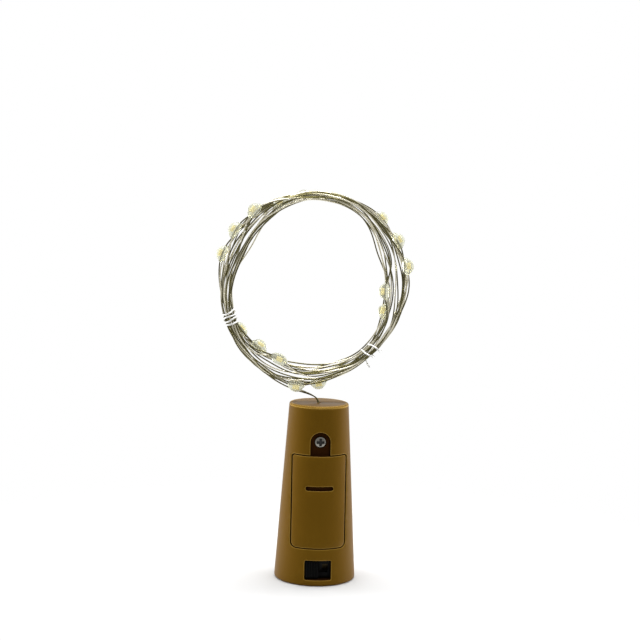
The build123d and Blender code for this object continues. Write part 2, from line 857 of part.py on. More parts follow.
# String lead: from the anchor out of the top and over to the foot of the coil
coil_entry = coil_path.position_at(0)
lead_last = coil_entry - coil_path.tangent_at(0) * coil_entry_run
wire_run(
    "string_lead",
    [
        (0, 0, anchor_top),
        (0, 0, cork_height + exit_rise),
        (-2.2, 0.3, cork_height + 2.1),
        (-5.6, 1.0, cork_height + 3.1),
        (-9.4, 2.2, cork_height + 4.5),
        (lead_last.X, lead_last.Y, lead_last.Z),
        (coil_entry.X, coil_entry.Y, coil_entry.Z),
    ],
    string_diameter,
)


def led_plane(led):
    """Plane at a light: origin on the wire, X along it, Z the way that the light faces."""
    target = first_led_turn + led_turn_step * led
    travelled = 0.0
    for edge in coil_path.order_edges():
        for k in range(led_samples):
            here = edge.position_at(k / led_samples)
            angle = math.degrees(math.atan2(here.Z - ring_height, here.X - ring_x))
            step = ((coil_start_angle - angle) / 360 - travelled + 0.5) % 1 - 0.5
            travelled += step
            if travelled >= target:
                along = edge.tangent_at(k / led_samples)
                outwards = Vector(here.X - ring_x, 0, here.Z - ring_height)
                outwards = (outwards - along * outwards.dot(along)).normalized()
                backwards = outwards.cross(along)
                facing = math.radians(led_facings[led])
                faced = outwards * math.cos(facing) + backwards * math.sin(facing)
                return Plane(here, x_dir=along, z_dir=faced)


def across_wire(plane, along, lift):
    """Plane across the wire at a light, moved along it and lifted the way that the light faces."""
    origin = plane.origin + plane.x_dir * along + plane.z_dir * lift
    return Plane(origin, x_dir=plane.z_dir, z_dir=plane.x_dir)


def led_drop(plane):
    """Resin drop round the wire, with its belly on the facing side and a pocket for the chip."""
    belly = drop_belly_length / 2
    end = drop_length / 2
    sections = [(-end, drop_end_radius), (-belly, drop_radius), (belly, drop_radius), (end, drop_end_radius)]
    with BuildPart() as drop:
        for along, radius in sections:
            with BuildSketch(across_wire(plane, along, drop_offset)):
                RegularPolygon(radius, drop_sides)
        loft(ruled=True)
        with BuildSketch(across_wire(plane, -end, 0)):
            RegularPolygon(drop_bore_radius, drop_sides)
        extrude(amount=drop_length, mode=Mode.SUBTRACT)
        with BuildSketch(plane):
            Rectangle(chip_length + 2 * chip_clearance, chip_width + 2 * chip_clearance)
        extrude(amount=drop_bore_radius + chip_height + 2 * chip_clearance, mode=Mode.SUBTRACT)
    return drop.part


def led_chip(plane):
    """Small block inside the drop, just clear of the wire."""
    with BuildPart() as chip:
        with BuildSketch(plane.offset(drop_bore_radius + chip_clearance)):
            Rectangle(chip_length, chip_width)
        extrude(amount=chip_height)
    return chip.part


# Lights: a chip in a drop of clear resin at every step along the string
led_samples = 24
for led in range(led_count):
    place = led_plane(led)
    drop = led_drop(place)
    drop.label = f"led_drop_{led + 1:02d}"
    export_step(drop, f"parts/led_drop_{led + 1:02d}.step")
    chip = led_chip(place)
    chip.label = f"led_chip_{led + 1:02d}"
    export_step(chip, f"parts/led_chip_{led + 1:02d}.step")


def tie_tube(station, turns, pitch):
    """Wire wound round the bundle at a station, with its two ends left straight."""
    angle = math.radians(station[0])
    outwards = Vector(math.cos(angle), 0, math.sin(angle))
    onwards = Vector(math.sin(angle), 0, -math.cos(angle))
    reach = (string_diameter + tie_wire) / 2 + tie_clearance
    half_width = ring_layer_gap / 2 + station[2] + reach
    half_depth = ring_half_depth + reach
    centre = Vector(ring_x, 0, ring_height) + outwards * station[1]
    points = []
    ways = []
    for node in range(round(4 * turns) + 1):
        swing = math.pi / 2 * node
        advance = pitch * (node / 4 - turns / 2)
        points.append(
            centre
            + outwards * (half_width * math.cos(swing))
            - Vector(0, half_depth * math.sin(swing), 0)
            + onwards * advance
        )
        ways.append(
            (
                outwards * (-half_width * math.sin(swing))
                - Vector(0, half_depth * math.cos(swing), 0)
                + onwards * (pitch / (2 * math.pi))
            ).normalized()
        )
    path = wound_path(points, ways, tie_wire, tie_tail)
    print("tie least gap", round(least_gap(path, tie_wire, 8, 9.0), 3))
    return wound_tube(path, tie_wire)


# Ties: one wire wound close at the left, one wound wide at the lower right
left_tie = tie_tube(left_tie_station, left_tie_turns, left_tie_pitch)
left_tie.label = "left_tie"
export_step(left_tie, "parts/left_tie.step")

right_tie = tie_tube(right_tie_station, right_tie_turns, right_tie_pitch)
right_tie.label = "right_tie"
export_step(right_tie, "parts/right_tie.step")
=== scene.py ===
import math

import bmesh
import bpy
from mathutils import Matrix, Vector


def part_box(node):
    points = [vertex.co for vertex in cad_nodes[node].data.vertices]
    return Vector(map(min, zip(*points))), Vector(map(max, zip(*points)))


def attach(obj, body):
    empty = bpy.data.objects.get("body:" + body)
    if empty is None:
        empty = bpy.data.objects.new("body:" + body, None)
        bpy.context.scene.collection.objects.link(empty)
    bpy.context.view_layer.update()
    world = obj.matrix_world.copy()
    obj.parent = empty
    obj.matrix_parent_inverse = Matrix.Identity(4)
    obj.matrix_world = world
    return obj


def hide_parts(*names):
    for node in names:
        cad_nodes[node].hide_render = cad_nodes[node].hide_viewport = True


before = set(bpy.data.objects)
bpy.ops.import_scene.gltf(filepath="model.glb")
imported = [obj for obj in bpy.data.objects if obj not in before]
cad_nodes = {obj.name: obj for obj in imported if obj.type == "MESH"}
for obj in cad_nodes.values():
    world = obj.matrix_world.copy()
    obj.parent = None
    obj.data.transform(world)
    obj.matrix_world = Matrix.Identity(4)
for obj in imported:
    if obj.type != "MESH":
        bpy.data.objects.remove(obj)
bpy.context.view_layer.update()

# Lengths of the object are in millimetres, and MM turns them into the scene's metres
MM = 0.001
cork_height = 48.0
cork_base_radius = 11.0
cork_top_radius = 8.0
cork_taper = (cork_base_radius - cork_top_radius) / cork_height
cork_brown = (0.104, 0.050, 0.0030, 1.0)
cork_pale = (0.122, 0.060, 0.0045, 1.0)
# Painted shade: colour of the plastic under the skin, in grooves, recesses and inside the shells
cork_painted_shade = (0.028, 0.0078, 0.0022, 1.0)
# Painted highlight: paler colour along the plug's edges, strongest along the top rim
cork_edge_highlight = (0.70, 0.43, 0.09, 1.0)
cork_sheen = (1.0, 0.70, 0.12, 1.0)
cork_roughness = 0.47
cork_gloss = 0.2
cork_edge = 0.07 * MM
edge_round = 0.4 * MM
rim_round = 1.2 * MM
edge_highlight_share = 0.28
grain_share = 0.4
gloss_swing = 0.22


def new_group(name, inputs, outputs):
    """Shader node group with named sockets, given with its input and output nodes."""
    group = bpy.data.node_groups.new(name, "ShaderNodeTree")
    for label, kind, value in inputs:
        group.interface.new_socket(label, in_out="INPUT", socket_type=kind).default_value = value
    for label, kind in outputs:
        group.interface.new_socket(label, in_out="OUTPUT", socket_type=kind)
    return group, group.nodes.new("NodeGroupInput"), group.nodes.new("NodeGroupOutput")


def math_node(group, operation, first, second):
    """Math node whose inputs are sockets or numbers; gives its output."""
    node = group.nodes.new("ShaderNodeMath")
    node.operation = operation
    for slot, value in zip(node.inputs, (first, second)):
        if isinstance(value, (int, float)):
            slot.default_value = value
        else:
            group.links.new(value, slot)
    return node.outputs["Value"]


def noise_node(group, where, scale, detail):
    """Noise over a position; gives its value."""
    node = group.nodes.new("ShaderNodeTexNoise")
    node.inputs["Detail"].default_value = detail
    group.links.new(where, node.inputs["Vector"])
    group.links.new(scale, node.inputs["Scale"])
    return node.outputs["Fac"]


def mix_node(group, share, first, second):
    """Mix of two colours; gives the result."""
    node = group.nodes.new("ShaderNodeMix")
    node.data_type = "RGBA"
    group.links.new(share, node.inputs["Factor"])
    for label, value in (("A", first), ("B", second)):
        slot = [socket for socket in node.inputs if socket.name == label and socket.type == "RGBA"][0]
        if isinstance(value, tuple):
            slot.default_value = value
        else:
            group.links.new(value, slot)
    return [socket for socket in node.outputs if socket.type == "RGBA"][0]


def surface_grain_group():
    """Colour that drifts in soft patches, uneven gloss and the fine grain of a made surface."""
    group, given, put = new_group(
        "surface_grain",
        [
            ("Colour", "NodeSocketColor", (0.5, 0.5, 0.5, 1)),
            ("Pale colour", "NodeSocketColor", (0.6, 0.6, 0.6, 1)),
            ("Roughness", "NodeSocketFloat", 0.5),
            ("Grain scale", "NodeSocketFloat", 4000.0),
            ("Patch scale", "NodeSocketFloat", 160.0),
        ],
        [("Colour", "NodeSocketColor"), ("Roughness", "NodeSocketFloat"), ("Height", "NodeSocketFloat")],
    )
    where = group.nodes.new("ShaderNodeTexCoord").outputs["Object"]
    patch = noise_node(group, where, given.outputs["Patch scale"], detail=4.0)
    grain = noise_node(group, where, given.outputs["Grain scale"], detail=2.0)
    fine = math_node(group, "MULTIPLY", grain, grain_share)
    broad = math_node(group, "MULTIPLY", patch, 1 - grain_share)
    both = math_node(group, "ADD", fine, broad)
    colour = mix_node(group, both, given.outputs["Colour"], given.outputs["Pale colour"])
    swing = math_node(group, "MULTIPLY", math_node(group, "SUBTRACT", both, 0.5), gloss_swing)
    group.links.new(colour, put.inputs["Colour"])
    group.links.new(math_node(group, "ADD", given.outputs["Roughness"], swing), put.inputs["Roughness"])
    group.links.new(grain, put.inputs["Height"])
    return group


surface_grain = surface_grain_group()


def grained_material(name, colour, pale, roughness, grain_scale, patch_scale, depth):
    """Material on the surface grain; gives it with its shader and the grain's node."""
    material = bpy.data.materials.new(name)
    material.use_nodes = True
    nodes = material.node_tree.nodes
    links = material.node_tree.links
    shader = nodes["Principled BSDF"]
    grain = nodes.new("ShaderNodeGroup")
    grain.node_tree = surface_grain
    grain.inputs["Colour"].default_value = colour
    grain.inputs["Pale colour"].default_value = pale
    grain.inputs["Roughness"].default_value = roughness
    grain.inputs["Grain scale"].default_value = grain_scale
    grain.inputs["Patch scale"].default_value = patch_scale
    bump = nodes.new("ShaderNodeBump")
    bump.inputs["Strength"].default_value = 0.4
    bump.inputs["Distance"].default_value = depth
    links.new(grain.outputs["Colour"], shader.inputs["Base Color"])
    links.new(grain.outputs["Roughness"], shader.inputs["Roughness"])
    links.new(grain.outputs["Height"], bump.inputs["Height"])
    links.new(bump.outputs["Normal"], shader.inputs["Normal"])
    return material, shader, grain


def plug_places_group():
    """Masks of what lies under the plug's skin, for painted shade there; of its top rim, for a wider
    rounding and a painted highlight; and of all that is off its seam.
    """
    group, given, put = new_group(
        "plug_places",
        [
            ("Painted shade from", "NodeSocketFloat", 0.05 * MM),
            ("Painted shade to", "NodeSocketFloat", 0.12 * MM),
            ("Rim from", "NodeSocketFloat", 2.0 * MM),
            ("Rim to", "NodeSocketFloat", 1.2 * MM),
            ("Inner from", "NodeSocketFloat", 0.3 * MM),
            ("Inner to", "NodeSocketFloat", 0.6 * MM),
            ("Off seam from", "NodeSocketFloat", 0.4 * MM),
            ("Off seam to", "NodeSocketFloat", 0.9 * MM),
        ],
        [("Painted shade", "NodeSocketFloat"), ("Rim", "NodeSocketFloat"), ("Off seam", "NodeSocketFloat")],
    )
    where = group.nodes.new("ShaderNodeTexCoord").outputs["Object"]
    split = group.nodes.new("ShaderNodeSeparateXYZ")
    group.links.new(where, split.inputs["Vector"])
    across = math_node(group, "MULTIPLY", split.outputs["X"], split.outputs["X"])
    through = math_node(group, "MULTIPLY", split.outputs["Y"], split.outputs["Y"])
    radius = math_node(group, "SQRT", math_node(group, "ADD", across, through), 0.0)
    narrowing = math_node(group, "MULTIPLY", split.outputs["Z"], cork_taper)
    skin = math_node(group, "SUBTRACT", cork_base_radius * MM, narrowing)
    from_top = math_node(group, "SUBTRACT", cork_height * MM, split.outputs["Z"])
    from_side = math_node(group, "SUBTRACT", skin, radius)
    from_rim = math_node(group, "MAXIMUM", from_side, from_top)
    from_ends = math_node(group, "MINIMUM", from_top, split.outputs["Z"])
    from_seam = math_node(group, "ABSOLUTE", split.outputs["Y"], 0.0)
    distances = {"Painted shade": from_side, "Rim": from_rim, "Inner": from_ends, "Off seam": from_seam}
    masks = {}
    for label, distance in distances.items():
        ramp = group.nodes.new("ShaderNodeMapRange")
        group.links.new(distance, ramp.inputs["Value"])
        group.links.new(given.outputs[label + " from"], ramp.inputs["From Min"])
        group.links.new(given.outputs[label + " to"], ramp.inputs["From Max"])
        masks[label] = ramp.outputs["Result"]
    # The sunk mask is painted shade under the plug's skin, kept off its top and bottom faces
    group.links.new(math_node(group, "MULTIPLY", masks["Painted shade"], masks["Inner"]), put.inputs["Painted shade"])
    group.links.new(masks["Rim"], put.inputs["Rim"])
    group.links.new(masks["Off seam"], put.inputs["Off seam"])
    return group


plug_places = plug_places_group()


def cork_material():
    """Ochre-brown moulded plastic, with painted highlights along its edges and top rim and painted shade in
    its grooves and recesses.
    """
    material, shader, grain = grained_material(
        "cork_plastic", colour=cork_brown, pale=cork_pale,
        roughness=cork_roughness, grain_scale=3200.0, patch_scale=150.0, depth=0.03 * MM,
    )
    tree = material.node_tree
    places = tree.nodes.new("ShaderNodeGroup")
    places.node_tree = plug_places
    shader.inputs["Specular IOR Level"].default_value = cork_gloss
    shader.inputs["Specular Tint"].default_value = cork_sheen
    edge_rounding = tree.nodes.new("ShaderNodeBevel")
    edge_rounding.samples = 8
    wider = math_node(tree, "MULTIPLY", places.outputs["Rim"], rim_round - edge_round)
    rounded = math_node(tree, "ADD", wider, edge_round)
    off_seam = math_node(tree, "MULTIPLY", rounded, places.outputs["Off seam"])
    outside_painted_shade = math_node(tree, "SUBTRACT", 1.0, places.outputs["Painted shade"])
    tree.links.new(math_node(tree, "MULTIPLY", off_seam, outside_painted_shade), edge_rounding.inputs["Radius"])
    dull = math_node(tree, "MAXIMUM", grain.outputs["Roughness"], places.outputs["Painted shade"])
    tree.links.new(dull, shader.inputs["Roughness"])
    tree.links.new(edge_rounding.outputs["Normal"], tree.nodes["Bump"].inputs["Normal"])
    turned = tree.nodes.new("ShaderNodeVectorMath")
    turned.operation = "DOT_PRODUCT"
    tree.links.new(edge_rounding.outputs["Normal"], turned.inputs[0])
    tree.links.new(tree.nodes.new("ShaderNodeNewGeometry").outputs["Normal"], turned.inputs[1])
    # Painted highlight: where the rounded normal turns from the true one, the edge is painted paler, fully
    # so along the top rim
    edge = tree.nodes.new("ShaderNodeMapRange")
    edge.inputs["From Min"].default_value = 0.99
    edge.inputs["From Max"].default_value = 0.95
    tree.links.new(turned.outputs["Value"], edge.inputs["Value"])
    rim_highlight_extra = math_node(tree, "MULTIPLY", places.outputs["Rim"], 1 - edge_highlight_share)
    highlight_strength = math_node(tree, "ADD", rim_highlight_extra, edge_highlight_share)
    pale = math_node(tree, "MULTIPLY", edge.outputs["Result"], highlight_strength)
    colour = mix_node(tree, pale, grain.outputs["Colour"], cork_edge_highlight)
    # Painted shade: the colour darkens under the skin, in grooves, recesses and inside the plug
    colour = mix_node(tree, places.outputs["Painted shade"], colour, cork_painted_shade)
    tree.links.new(colour, shader.inputs["Base Color"])
    return material


cork_plastic = cork_material()


def shown(name, mesh, body, materials):
    """Object for a finished mesh, riding on a body and taking its finish from a slot."""
    for face in mesh.polygons:
        face.use_smooth = True
    for material in materials:
        mesh.materials.append(material)
    piece = bpy.data.objects.new(name, mesh)
    bpy.context.scene.collection.objects.link(piece)
    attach(piece, body)
    return piece


def mesh_of(name, shape):
    """Mesh from a bmesh, which is freed."""
    mesh = bpy.data.meshes.new(name)
    shape.to_mesh(mesh)
    shape.free()
    return mesh


def broken_edges(piece, width):
    """Small rounds along a piece's sharp edges."""
    soften = piece.modifiers.new("broken_edges", "BEVEL")
    soften.width = width
    soften.segments = 2
    soften.limit_method = "ANGLE"
    soften.angle_limit = math.radians(38)
    soften.harden_normals = True


def dressed_copy(node, name, body, material, edge, slices=1):
    """Stand-in for a CAD node with merged corners and broken edges, cut across into level slices."""
    shape = bmesh.new()
    shape.from_mesh(cad_nodes[node].data)
    bmesh.ops.remove_doubles(shape, verts=shape.verts, dist=0.0005 * MM)
    bmesh.ops.dissolve_limit(shape, angle_limit=math.radians(0.5), verts=shape.verts, edges=shape.edges)
    low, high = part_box(node)
    for k in range(1, slices):
        height = low[2] + (high[2] - low[2]) * k / slices
        everything = shape.verts[:] + shape.edges[:] + shape.faces[:]
        bmesh.ops.bisect_plane(
            shape, geom=everything, dist=0.0001 * MM, plane_co=(0, 0, height), plane_no=(0, 0, 1)
        )
    piece = shown(name, mesh_of(name, shape), body, [material])
    broken_edges(piece, edge)
    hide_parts(node)
    return piece


dressed_copy("front_shell", "front_half", "plug", cork_plastic, cork_edge, slices=30)

# Slide switch.
# Folded steel can behind the window, closed by an insulating plate; can and plate are coloured near black
# as painted shade.
# Three brass terminals and a springy brass bridge lie inside it, their brass darkened as painted shade.
# Painted shade: the can is coloured near black to stand for the shade behind the window
can_shade_steel, can_shader, _ = grained_material(
    "can_shade_black", colour=(0.003, 0.003, 0.003, 1), pale=(0.006, 0.006, 0.006, 1),
    roughness=0.36, grain_scale=3000.0, patch_scale=300.0, depth=0.005 * MM,
)
can_shader.inputs["Specular IOR Level"].default_value = 0.06
dressed_copy("switch_frame", "switch_can", "plug", can_shade_steel, edge=0.08 * MM)
# Painted shade: the insulating plate is coloured near black
board_shade_plastic, _, _ = grained_material(
    "board_shade_dark", colour=(0.012, 0.009, 0.006, 1), pale=(0.022, 0.016, 0.010, 1),
    roughness=0.6, grain_scale=2500.0, patch_scale=500.0, depth=0.01 * MM,
)
dressed_copy("switch_base", "switch_plate", "plug", board_shade_plastic, edge=0.05 * MM)
# Painted shade: the brass is darkened to read as shade inside the can
brass_painted_shade, brass_shader, _ = grained_material(
    "brass_painted_shade", colour=(0.045, 0.034, 0.018, 1), pale=(0.08, 0.062, 0.034, 1),
    roughness=0.42, grain_scale=4000.0, patch_scale=700.0, depth=0.004 * MM,
)
brass_shader.inputs["Metallic"].default_value = 1.0
dressed_copy("switch_terminals", "terminals", "plug", brass_painted_shade, edge=0.04 * MM)
dressed_copy("slider_contact", "contact_bridge", "slider", brass_painted_shade, edge=0.03 * MM)

# Switch knob.
# Black moulded slider with five ribs for the fingertip, on a stem through the can's slot.
knob_plastic, knob_shader, _ = grained_material(
    "knob_plastic", colour=(0.0022, 0.0022, 0.0022, 1), pale=(0.0042, 0.0042, 0.004, 1),
    roughness=0.4, grain_scale=3600.0, patch_scale=260.0, depth=0.012 * MM,
)
knob_shader.inputs["Specular IOR Level"].default_value = 0.04
dressed_copy("switch_slider", "switch_knob", "slider", knob_plastic, edge=0.09 * MM)

# Battery contacts.
# Two nickelled spring-steel plates in the ends of the tray, with solder tabs through its end walls.
nickel, nickel_shader, _ = grained_material(
    "nickelled_steel", colour=(0.46, 0.44, 0.40, 1), pale=(0.60, 0.58, 0.54, 1),
    roughness=0.27, grain_scale=2200.0, patch_scale=420.0, depth=0.004 * MM,
)
nickel_shader.inputs["Metallic"].default_value = 1.0
for node, name in (("positive_contact", "plus_contact"), ("negative_contact", "minus_contact")):
    dressed_copy(node, name, "plug", nickel, edge=0.05 * MM)

# Contact spring.
# Cone of nickelled wire, wide end on the upper contact and narrow end on the top cell.
spring_wire = 0.45
spring_turns = 3
spring_top = 32.3
spring_height = 4.6
spring_wide_radius = 3.9
spring_narrow_radius = 2.0
cell_axis_y = -1.2
spring_points_per_turn = 16


def smooth_route(name, points):
    """Points read from a NURBS spline with the given control points in millimetres, in metres."""
    curve = bpy.data.curves.new(name, "CURVE")
    curve.dimensions = "3D"
    curve.resolution_u = 4
    spline = curve.splines.new("NURBS")
    spline.points.add(len(points) - 1)
    for slot, point in zip(spline.points, points):
        slot.co = (*(Vector(point) * MM), 1)
    spline.order_u = 3
    spline.use_endpoint_u = True
    holder = bpy.data.objects.new(name, curve)
    mesh = bpy.data.meshes.new_from_object(holder)
    route = [vertex.co.copy() for vertex in mesh.vertices]
    bpy.data.objects.remove(holder)
    bpy.data.curves.remove(curve)
    bpy.data.meshes.remove(mesh)
    return route


def tube_mesh(name, lines, diameter, resolution):
    """Mesh of round wires along lists of points in metres."""
    curve = bpy.data.curves.new(name, "CURVE")
    curve.dimensions = "3D"
    curve.bevel_depth = diameter / 2
    curve.bevel_resolution = resolution
    curve.use_fill_caps = True
    for line in lines:
        spline = curve.splines.new("POLY")
        spline.points.add(len(line) - 1)
        for slot, point in zip(spline.points, line):
            slot.co = (*point, 1)
    holder = bpy.data.objects.new(name, curve)
    mesh = bpy.data.meshes.new_from_object(holder)
    mesh.name = name
    bpy.data.objects.remove(holder)
    bpy.data.curves.remove(curve)
    return mesh


spring_points = []
for k in range(spring_turns * spring_points_per_turn + 1):
    share = k / (spring_turns * spring_points_per_turn)
    angle = 2 * math.pi * spring_turns * share
    radius = spring_wide_radius + (spring_narrow_radius - spring_wide_radius) * share
    height = spring_top - spring_wire / 2 - (spring_height - spring_wire) * share
    spring_points.append((radius * math.cos(angle), cell_axis_y + radius * math.sin(angle), height))
spring_route = smooth_route("spring_route", spring_points)
spring_mesh = tube_mesh("cone_spring", [spring_route], spring_wire * MM, resolution=3)
spring = shown("cone_spring", spring_mesh, "plug", [nickel])
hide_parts("contact_spring")

# Inner wires.
# Stranded hook-up wire in soft insulation, soldered between the contacts, the switch and the light string.
lead_diameter = 0.5
tab_y = 2.85
leg_y = -2.0
switch_height = 4.3
anchor_bottom = 43.9
lead_routes = {
    "jumper_wire": [(0, tab_y, 7.8), (0, tab_y, switch_height), (0, leg_y, switch_height)],
    "inner_lead_1": [
        (2.5, leg_y, switch_height),
        (2.5, tab_y, switch_height),
        (3.0, 6.7, 7.8),
        (2.0, 6.7, 17.6),
        (3.0, 6.4, 26.2),
        (2.5, 5.9, 34.8),
        (0.8, 0.5, 41.7),
        (0.8, 0, anchor_bottom),
    ],
    "inner_lead_2": [(0, tab_y, 36.0), (0, tab_y, 38.2), (-0.8, 0, 41.7), (-0.8, 0, anchor_bottom)],
}
black_cover, _, _ = grained_material(
    "black_insulation", colour=(0.012, 0.012, 0.013, 1), pale=(0.022, 0.022, 0.023, 1),
    roughness=0.45, grain_scale=2600.0, patch_scale=500.0, depth=0.006 * MM,
)
red_cover, _, _ = grained_material(
    "red_insulation", colour=(0.30, 0.016, 0.012, 1), pale=(0.38, 0.030, 0.020, 1),
    roughness=0.42, grain_scale=2600.0, patch_scale=500.0, depth=0.006 * MM,
)
for node, finish, slot_name in (
    ("jumper_wire", red_cover, "lead_red"),
    ("inner_lead_1", red_cover, "lead_red"),
    ("inner_lead_2", black_cover, "lead_black"),
):
    line = smooth_route(node + "_route", lead_routes[node])
    name = node + "_insulated"
    insulation = tube_mesh(name, [line], lead_diameter * MM, resolution=4)
    lead = shown(name, insulation, "plug", [finish])
    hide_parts(node)

# Light string.
# Two fine enamelled wires side by side, about a metre and a half long. It leaves the hole in the top,
# runs over to the left and is wound by hand into an upright ring of loose turns.
string_diameter = 0.75
strand_diameter = 0.37
strand_spacing = 0.40
strand_parting = 0.6
anchor_top = 46.5
ring_x = -2.3
ring_height = 79.3
ring_half_depth = 3.3
ring_layer_gap = 0.4
coil_start_angle = 238.0
coil_start_radius = 26.5
coil_end_radius = 23.2
coil_end_lift = 0.5
outer_turns = 5.6
climb_turns = 0.5
end_stub_turns = 0.012
end_clear_turns = 4 * end_stub_turns
led_count = 15
first_led_turn = 0.533
led_turn_step = 0.6813
led_facings = [0, 0, 0, 0, 0, 315, 0, 0, 270, 180, 45, 180, 180, 45, 110]
coil_turns = first_led_turn + led_turn_step * (led_count - 1) + end_stub_turns
coil_entry_run = 3.4
points_per_turn = 36
led_bulge = 1.3
led_bulge_turns = 0.04
led_lift = 0.57
calm_end_turns = 0.25
turn_column = 0
radius_column = 1
depth_column = 2
looseness_column = 3

# Lights that face outwards, since none shows inside the top of the ring
turned_lights = (11, 14)

# Waves of hand winding and their beats: waves in a turn, how far the beat strays and how fast
hand_wave = 0.14
hand_wave_beat = (4.37, 1.9, 2.3)
hand_kink = 0.05
hand_kink_beat = (9.71, 2.6, 5.1)
hand_drift_beat = (3.61, 0.0, 0.0)

# Stations round the ring: angle, radius of the bundle's middle, how far loose turns fan out and in
left_tie_station = (201.0, 23.9, 0.9, 0.9)
right_tie_station = (-48.0, 23.4, 0.9, 0.9)
ring_stations = [
    left_tie_station,
    (180.0, 23.2, 1.5, 1.4),
    (158.0, 22.3, 2.0, 2.0),
    (128.0, 23.4, 2.0, 1.9),
    (95.0, 24.3, 0.8, 0.9),
    (62.0, 24.4, 1.0, 1.1),
    (22.0, 22.9, 2.9, 3.1),
    (-15.0, 22.5, 2.6, 2.7),
    right_tie_station,
    (-80.0, 23.8, 1.9, 1.9),
    (-108.0, 24.5, 2.4, 2.4),
    (-135.0, 24.8, 1.3, 1.3),
]


def fan_share(turn):
    """How far a loose turn stands out of the bundle: most at both ends, not at all between the layers."""
    if turn < outer_turns:
        return 1 - turn / outer_turns
    return (turn - outer_turns) / (coil_turns - outer_turns)


def coil_depth(turn):
    """The outer layer winds from the back to the front, and the inner layer back again."""
    if turn < outer_turns:
        return ring_half_depth * (1 - 2 * turn / outer_turns)
    return ring_half_depth * (2 * (turn - outer_turns) / (coil_turns - outer_turns) - 1)


def climb_share(turn):
    """0 while the string winds the outer layer, 1 in the inner layer, smooth between them."""
    share = min(max((turn - outer_turns) / climb_turns + 0.5, 0), 1)
    return share * share * (3 - 2 * share)


def coil_rows():
    """Turn, radius, depth and looseness of the string at each station that it passes."""
    rows = [(0.0, coil_start_radius, coil_depth(0), 0.0)]
    for lap in range(math.ceil(coil_turns) + 1):
        for angle, middle, fan_out, fan_in in ring_stations:
            turn = lap + (coil_start_angle - angle) / 360
            if end_stub_turns < turn < coil_turns - end_clear_turns:
                outer = middle + ring_layer_gap / 2 + fan_out * fan_share(turn)
                inner = middle - ring_layer_gap / 2 - fan_in * fan_share(turn)
                rows.append((turn, outer + (inner - outer) * climb_share(turn), coil_depth(turn), fan_out))
    rows.append((coil_turns, coil_end_radius, coil_depth(coil_turns) + coil_end_lift, 0.0))
    return rows


def slope(rows, i, column):
    """Rate of change of a column per turn at row i, from the rows before and after it."""
    if i == 0:
        return 0.0
    back = rows[i][turn_column] - rows[i - 1][turn_column]
    back_rate = (rows[i][column] - rows[i - 1][column]) / back
    if i == len(rows) - 1:
        return back_rate
    ahead = rows[i + 1][turn_column] - rows[i][turn_column]
    ahead_rate = (rows[i + 1][column] - rows[i][column]) / ahead
    return (back_rate * ahead + ahead_rate * back) / (back + ahead)


def between(rows, i, column, turn):
    """Smooth value of a column between row i and the next."""
    step = rows[i + 1][turn_column] - rows[i][turn_column]
    u = (turn - rows[i][turn_column]) / step
    value = rows[i][column] * (1 + 2 * u) * (1 - u) ** 2 + rows[i + 1][column] * u * u * (3 - 2 * u)
    value += slope(rows, i, column) * step * u * (1 - u) ** 2
    return value + slope(rows, i + 1, column) * step * u * u * (u - 1)


wound_rows = coil_rows()


def sway(turn, rate, stray, stray_rate):
    """Uneven wave along the turns, between -1 and 1."""
    return math.sin(2 * math.pi * turn * rate + stray * math.sin(turn * stray_rate))


def wound_place(turn):
    """Radius and depth of the string at a turn of the ring, with the waves and kinks of hand winding."""
    i = max(k for k in range(len(wound_rows) - 1) if wound_rows[k][turn_column] <= turn)
    ease = min(1, turn / calm_end_turns, (coil_turns - turn) / calm_end_turns)
    loose = ease * between(wound_rows, i, looseness_column, turn)
    wave = hand_wave * sway(turn, *hand_wave_beat)
    kink = hand_kink * sway(turn, *hand_kink_beat)
    radius = between(wound_rows, i, radius_column, turn) + loose * (wave + kink)
    depth = between(wound_rows, i, depth_column, turn) + loose * hand_wave * sway(turn, *hand_drift_beat)
    return radius, depth


def light_pull(led):
    """How far a light pulls the string out of its bundle and to the back, to hang where it belongs."""
    facing = math.radians(led_facings[led])
    if led + 1 in turned_lights:
        return led_bulge * math.cos(facing), 0.0
    low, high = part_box(f"led_drop_{led + 1:02d}")
    seat = (Vector(low) + Vector(high)) / (2 * MM)
    radius, depth = wound_place(first_led_turn + led_turn_step * led)
    seat_radius = math.hypot(seat.x - ring_x, seat.z - ring_height)
    return seat_radius - led_lift * math.cos(facing) - radius, seat.y - led_lift * math.sin(facing) - depth


light_pulls = [light_pull(led) for led in range(led_count)]


def coil_point(turn):
    """Point of the string at a turn of the ring, in millimetres, pulled aside by the lights."""
    nearest = min(max(round((turn - first_led_turn) / led_turn_step), 0), led_count - 1)
    off = (turn - first_led_turn - nearest * led_turn_step) / led_bulge_turns
    near = math.exp(-off * off)
    radius, depth = wound_place(turn)
    pulled_out, pulled_back = light_pulls[nearest]
    radius += near * pulled_out
    depth += near * pulled_back
    angle = math.radians(coil_start_angle - 360 * turn)
    return Vector((ring_x + radius * math.cos(angle), depth, ring_height + radius * math.sin(angle)))


turn_points = [coil_point(k / points_per_turn) for k in range(int(coil_turns * points_per_turn) + 1)]
turn_points.append(coil_point(coil_turns))
entry_way = (turn_points[1] - turn_points[0]).normalized()
lead_points = [
    (0, 0, anchor_top),
    (0, 0, cork_height + 0.7),
    (-2.2, 0.3, cork_height + 2.1),
    (-5.6, 1.0, cork_height + 3.1),
    (-9.4, 2.2, cork_height + 4.5),
    turn_points[0] - entry_way * coil_entry_run,
]
string_route = smooth_route("string_route", lead_points + turn_points)


def ways_along(route):
    """Unit tangents at the points of a route."""
    ways = []
    for i in range(len(route)):
        ways.append((route[min(i + 1, len(route) - 1)] - route[max(i - 1, 0)]).normalized())
    return ways


string_ways = ways_along(string_route)
twist_length = 33.0 * MM
twist_swing = 1.1
twist_swing_length = 1.7 * twist_length
parting_length = 23.0 * MM


